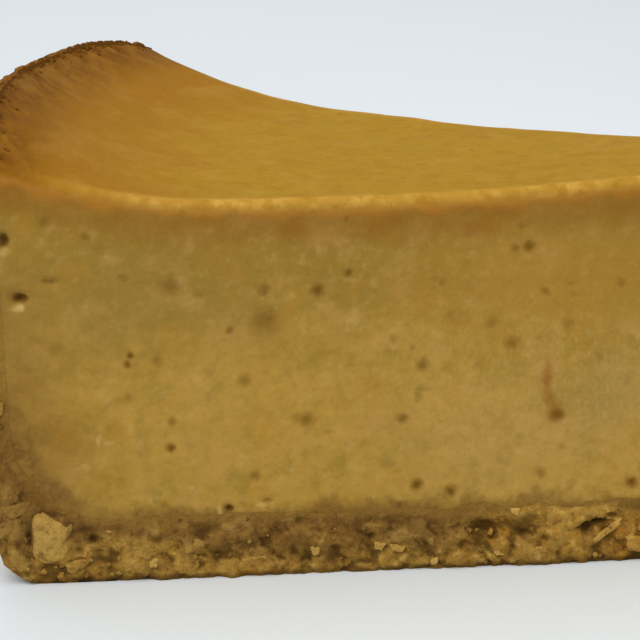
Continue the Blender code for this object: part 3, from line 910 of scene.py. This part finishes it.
def crumbPlaces(random):
    # points over the crust's cut faces, outside and rim, each with the direction it faces and how deep its
    # crumb is sunk, in radii
    look = crumbs
    places, directions, depths = [], [], []
    for face in (1.0, -1.0):
        radius = wedgeRadius - random.uniform(0, wedgeRadius - 0.004, look["tries"])
        height = random.uniform(0.0005, rimHeight(1.0) - 0.0005, look["tries"])
        fewerAbove = random.random(look["tries"]) > 0.75 * height / wedge["baseThickness"]
        inBase = (height < floorHeight(radius) - 0.001) & fewerAbove
        inWall = (radius > wedgeRadius - 0.0012) & (random.random(look["tries"]) > 0.5)
        inside = (inBase | inWall) & (radius < outerProfile(height) - 0.0003)
        chosen = np.flatnonzero(inside)[:look["onCuts"]]
        places.append(placeAt(radius[chosen], face, height[chosen]))
        directions.append(np.tile(cutNormal(face), (len(chosen), 1)))
        depths.append(np.full(len(chosen), look["sunk"]))
    side = random.uniform(-1, 1, look["onOutside"])
    height = 0.0006 + random.random(look["onOutside"]) * (rimHeight(side) - 0.0016)
    places.append(placeAt(outerProfile(height) - 0.0001, side, height))
    angle = side * wedge["halfAngle"]
    directions.append(np.stack([-np.cos(angle), -np.sin(angle), 0 * angle], axis=1))
    depths.append(np.full(look["onOutside"], look["sunk"]))
    side = random.uniform(-0.95, 0.95, look["onRim"])
    fromRim = random.beta(1.0, 3.0, look["onRim"]) * 0.0028 + 0.0003
    radius = wedgeRadius - fromRim
    rounded = crust["rimRound"] * np.clip(1 - fromRim / wedge["wallTop"], 0, None) ** 2
    places.append(placeAt(radius, side, topHeight(radius, side) - 0.0001 - rounded))
    directions.append(np.tile([0.0, 0.0, 1.0], (look["onRim"], 1)))
    depths.append(np.where(fromRim < 0.0012, look["sunkOnRim"], look["sunk"]))
    return np.concatenate(places), np.concatenate(directions), np.concatenate(depths)


def randomTurns(random, count):
    # rotation matrices from random unit quaternions
    w, x, y, z = random.normal(size=(4, count))
    length = np.sqrt(w * w + x * x + y * y + z * z)
    w, x, y, z = w / length, x / length, y / length, z / length
    return np.stack([
        np.stack([1 - 2 * (y * y + z * z), 2 * (x * y - w * z), 2 * (x * z + w * y)], axis=-1),
        np.stack([2 * (x * y + w * z), 1 - 2 * (x * x + z * z), 2 * (y * z - w * x)], axis=-1),
        np.stack([2 * (x * z - w * y), 2 * (y * z + w * x), 1 - 2 * (x * x + y * y)], axis=-1),
    ], axis=1)


def ballShape(cuts):
    # points and triangles of a unit ball: a cube's edges cut in even parts, pushed out to length 1
    work = bmesh.new()
    bmesh.ops.create_cube(work, size=2.0)
    bmesh.ops.subdivide_edges(work, edges=work.edges[:], cuts=cuts, use_grid_fill=True)
    bmesh.ops.triangulate(work, faces=work.faces[:])
    mesh = bpy.data.meshes.new("ball")
    work.to_mesh(mesh)
    work.free()
    points = np.empty(len(mesh.vertices) * 3)
    mesh.vertices.foreach_get("co", points)
    triangles = np.empty(len(mesh.polygons) * 3, dtype=np.int64)
    mesh.polygons.foreach_get("vertices", triangles)
    bpy.data.meshes.remove(mesh)
    points = points.reshape(-1, 3)
    return points / np.linalg.norm(points, axis=1)[:, None], triangles.reshape(-1, 3)


def copiesPiece(name, points, triangles, tones, shades, material, smooth):
    # one piece of many balls of the same triangles, each with a tone and a shade of its own
    each = len(points) // len(tones)
    faces = (triangles[None] + (np.arange(len(tones)) * each)[:, None, None]).reshape(-1, 3)
    none = np.zeros(len(points))
    attributes = {
        "tone": np.repeat(tones, each),
        "paintedShadeAndDarkTone": np.repeat(shades, each),
        "outside": none,
        "border": none + 9,  # in mm, too far from the filling to be soaked
    }
    piece = meshPiece(name, points, faces, material, attributes, smooth, weld=False)


def makeCrumbs(material):
    # each crumb is a ball whose points move in or out at random, stretched, turned and set into the crust
    random = np.random.default_rng(crumbs["seed"])
    places, directions, depths = crumbPlaces(random)
    order = random.permutation(len(places))
    places, directions, depths = places[order], directions[order], depths[order]
    ball, triangles = ballShape(1)
    start = 0
    for kind, (share, tone, smallest, largest) in crumbs["kinds"].items():
        stop = start + int(share * len(places))
        count = stop - start
        size = smallest + (largest - smallest) * random.beta(1.3, 3.0, count)
        stretch = size[:, None] * random.uniform(0.6, 1.4, (count, 3))
        swell = random.uniform(0.56, 1.22, (count, len(ball), 1))
        shapes = ball[None] * swell * stretch[:, None, :]
        shapes = np.einsum("nij,nkj->nki", randomTurns(random, count), shapes)
        centre = places[start:stop] - directions[start:stop] * (size * depths[start:stop])[:, None]
        points = (shapes + centre[:, None, :]).reshape(-1, 3)
        points[:, 2] = np.maximum(points[:, 2], offFloor)
        tones = np.clip(tone + random.normal(0, 0.12, count), 0, 1)
        shades = random.uniform(0.0, 0.45, count)
        copiesPiece(kind, points, triangles, tones, shades, material, smooth=False)
        start = stop


biscuit = {
    # larger bits of biscuit in the cut face in view: spot, half depth in mm, lean in degrees, tone towards tan
    "bits": [
        (6.4, 5.9, 2.1, 2.8, 1.3, 14, 0.58), (13.3, 6.1, 0.6, 0.75, 0.5, 0, 0.5), (17.1, 3.8, 2.0, 1.1, 0.7, 14, 0.25),
        (18.9, 2.3, 0.55, 0.6, 0.4, 0, 0.8), (2.6, 9.9, 1.5, 0.8, 0.6, -12, 0.18), (69.2, 5.4, 1.6, 1.9, 0.7, 0, 0.15),
        (75.0, 4.0, 2.3, 0.45, 0.5, -36, 0.5), (53.5, 1.0, 0.45, 0.45, 0.4, 0, 0.85),
        (55.9, 1.2, 0.4, 0.5, 0.4, 0, 0.8),
        (61.8, 1.9, 0.7, 0.4, 0.4, 0, 0.6), (63.6, 7.2, 0.5, 0.45, 0.4, 0, 0.75), (46.7, 3.4, 0.6, 0.5, 0.4, 15, 0.6),
        (48.9, 3.0, 0.9, 0.5, 0.4, 10, 0.5), (38.8, 3.1, 0.5, 0.6, 0.4, 0, 0.55), (32.0, 2.2, 0.9, 0.6, 0.5, -8, 0.45),
        (24.6, 4.6, 0.8, 0.5, 0.4, 20, 0.35), (29.3, 5.6, 1.0, 0.45, 0.4, 8, 0.45), (65.9, 1.8, 1.5, 0.8, 0.6, 4, 0.2),
        (22.9, 1.5, 1.4, 0.7, 0.5, 5, 0.2), (9.6, 2.3, 1.3, 0.7, 0.5, -15, 0.15), (79.0, 2.4, 1.4, 1.0, 0.6, 10, 0.2),
        (0.9, 22.9, 0.45, 0.85, 0.35, 0, 0.7),
    ],
    "farBits": 26,  # bits strewn over the other cut face, and past the view
    "pastBits": 6,
    "farFrom": (2, 104),  # between these distances from the rim in mm
    "pastFrom": (82, 104),
    "boxiness": 5.0,  # the power p in the formula below
    "taper": 0.3,
    "rough": [(0.2, 0.6), (0.12, 0.25)],
    "seed": 12,
}


def makeBiscuit(material):
    # each bit is a ball pushed out to a rounded box, |x|^p + |y|^p + |z|^p = 1, stretched, roughened and
    # leaned on its cut face, with a third of it standing out
    look = biscuit
    random = np.random.default_rng(look["seed"])
    ball, triangles = ballShape(11)
    box = ball / (np.abs(ball) ** look["boxiness"]).sum(axis=1)[:, None] ** (1 / look["boxiness"])
    bits = [(1.0, *bit) for bit in look["bits"]]
    for face in [-1.0] * look["farBits"] + [1.0] * look["pastBits"]:
        fromRim = random.uniform(*look["farFrom" if face < 0 else "pastFrom"])
        high = random.beta(1.4, 2.2) * 7
        wide = random.uniform(0.5, 1.9)
        halfHigh, lean, tone = wide * random.uniform(0.5, 0.9), random.uniform(-30, 30), random.uniform(0.1, 0.6)
        bits.append((face, fromRim, high + 0.8, wide, halfHigh, 0.5, lean, tone))
    points, tones = [], []
    for index, (face, fromRim, high, halfWide, halfHigh, halfDeep, lean, tone) in enumerate(bits):
        (large, largeSize), (small, smallSize) = look["rough"]
        rough = 1 + large * smoothNoise(ball, largeSize, look["seed"] + index)
        rough += small * smoothNoise(ball, smallSize, index)
        shape = box * rough[:, None] * np.array([halfWide, halfHigh, halfDeep]) / 1000
        shape[:, 0] *= 1 + look["taper"] * box[:, 1]
        turn = math.radians(lean)
        up = np.array([0.0, 0.0, 1.0])
        across = alongCut(face) * math.cos(turn) - up * math.sin(turn)
        upright = up * math.cos(turn) + alongCut(face) * math.sin(turn)
        middle = facePoint(fromRim / 1000, high / 1000, face) - cutNormal(face) * halfDeep * 0.0006
        points.append(middle + shape[:, :1] * across + shape[:, 1:2] * upright + shape[:, 2:] * cutNormal(face))
        tones.append(tone)
    points = np.concatenate(points)
    points[:, 2] = np.maximum(points[:, 2], offFloor)
    copiesPiece("biscuitBits", points, triangles, tones, np.zeros(len(tones)), material, smooth=True)


# Stage, light and camera

stage = {
    "floor": (225, 231, 235),
    "floorCloud": (219, 226, 231),
    "roughness": 0.5,
    "specular": 0.2,
    "noises": {"cloudy": (0.4, 2)},
    "bump": (0.05, 0.0005),
    "floorSize": 6.0,
    "sky": (240, 243, 248),
    "skyStrength": 0.58,
    # name: watts, size, colour, azimuth and elevation of the light in degrees, distance
    "lights": {
        "softbox": (11.0, 1.1, (255, 252, 246), -18, 52, 1.2),
        "overhead": (4.0, 1.2, (255, 251, 242), 150, 72, 1.2),
    },
}

view = {
    "from": (12.0, 17.3, 0.34),  # azimuth and elevation in degrees, distance
    "target": (crustHigh.x - 0.0762, 0.0, 0.0254),
    "lens": 148.2,
    "sensor": 36.0,
    "clip": (0.01, 50),
}


def lookFrom(thing, azimuth, elevation, distance, target=(0, 0, 0)):
    # Puts a lamp or a camera at a distance from its target, facing it. Azimuth 0 is in front, towards -Y, and
    # 90 is to the right, towards +X.
    turn, rise = math.radians(azimuth), math.radians(elevation)
    away = Vector((math.sin(turn) * math.cos(rise), -math.cos(turn) * math.cos(rise), math.sin(rise)))
    thing.location = Vector(target) + away * distance
    thing.rotation_euler = away.to_track_quat("Z", "Y").to_euler()


def makeStage():
    # one large square floor with faint clouds
    shader = Shader("paleFloor", stage)
    cloudy = shader.noises["cloudy"]
    shader.colour = stage["floor"]
    shader.lay(shader.ramp(cloudy, 0.3, 0.7), "floorCloud")
    half = stage["floorSize"] / 2
    mesh = bpy.data.meshes.new("floor")
    mesh.from_pydata([(-half, -half, 0), (half, -half, 0), (half, half, 0), (-half, half, 0)], [], [(0, 1, 2, 3)])
    mesh.materials.append(shader.finish(cloudy, *stage["bump"]))
    floor = addObject("floor", mesh)


def makeLights():
    # an even pale sky and large soft lamps that all face the slice
    world = bpy.data.worlds.new("softRoom")
    world.use_nodes = True
    background = world.node_tree.nodes["Background"]
    background.inputs["Color"].default_value = linear(stage["sky"])
    background.inputs["Strength"].default_value = stage["skyStrength"]
    bpy.context.scene.world = world
    for name, (watts, size, colour, *where) in stage["lights"].items():
        light = bpy.data.lights.new(name, "AREA")
        light.energy = watts
        light.size = size
        light.color = linear(colour)[:3]
        lookFrom(addObject(name, light), *where)


def makeCamera():
    # looks at the target from the view's direction and distance
    camera = bpy.data.cameras.new("camera")
    camera.lens = view["lens"]
    camera.sensor_width = view["sensor"]
    camera.clip_start, camera.clip_end = view["clip"]
    viewer = addObject("camera", camera)
    lookFrom(viewer, *view["from"], view["target"])
    bpy.context.scene.camera = viewer
    bpy.context.scene.view_settings.view_transform = "Standard"
    bpy.context.scene.view_settings.look = "None"


makeCamera()
makeStage()
makeLights()
print("stage ready")
makeFilling(fillingMaterial())
print("filling ready")
crumbLook = crumbMaterial("crumbCrust")
makeCrust(crumbLook)
makeCrumbs(crumbLook)
makeBiscuit(crumbLook)
print("crust ready")
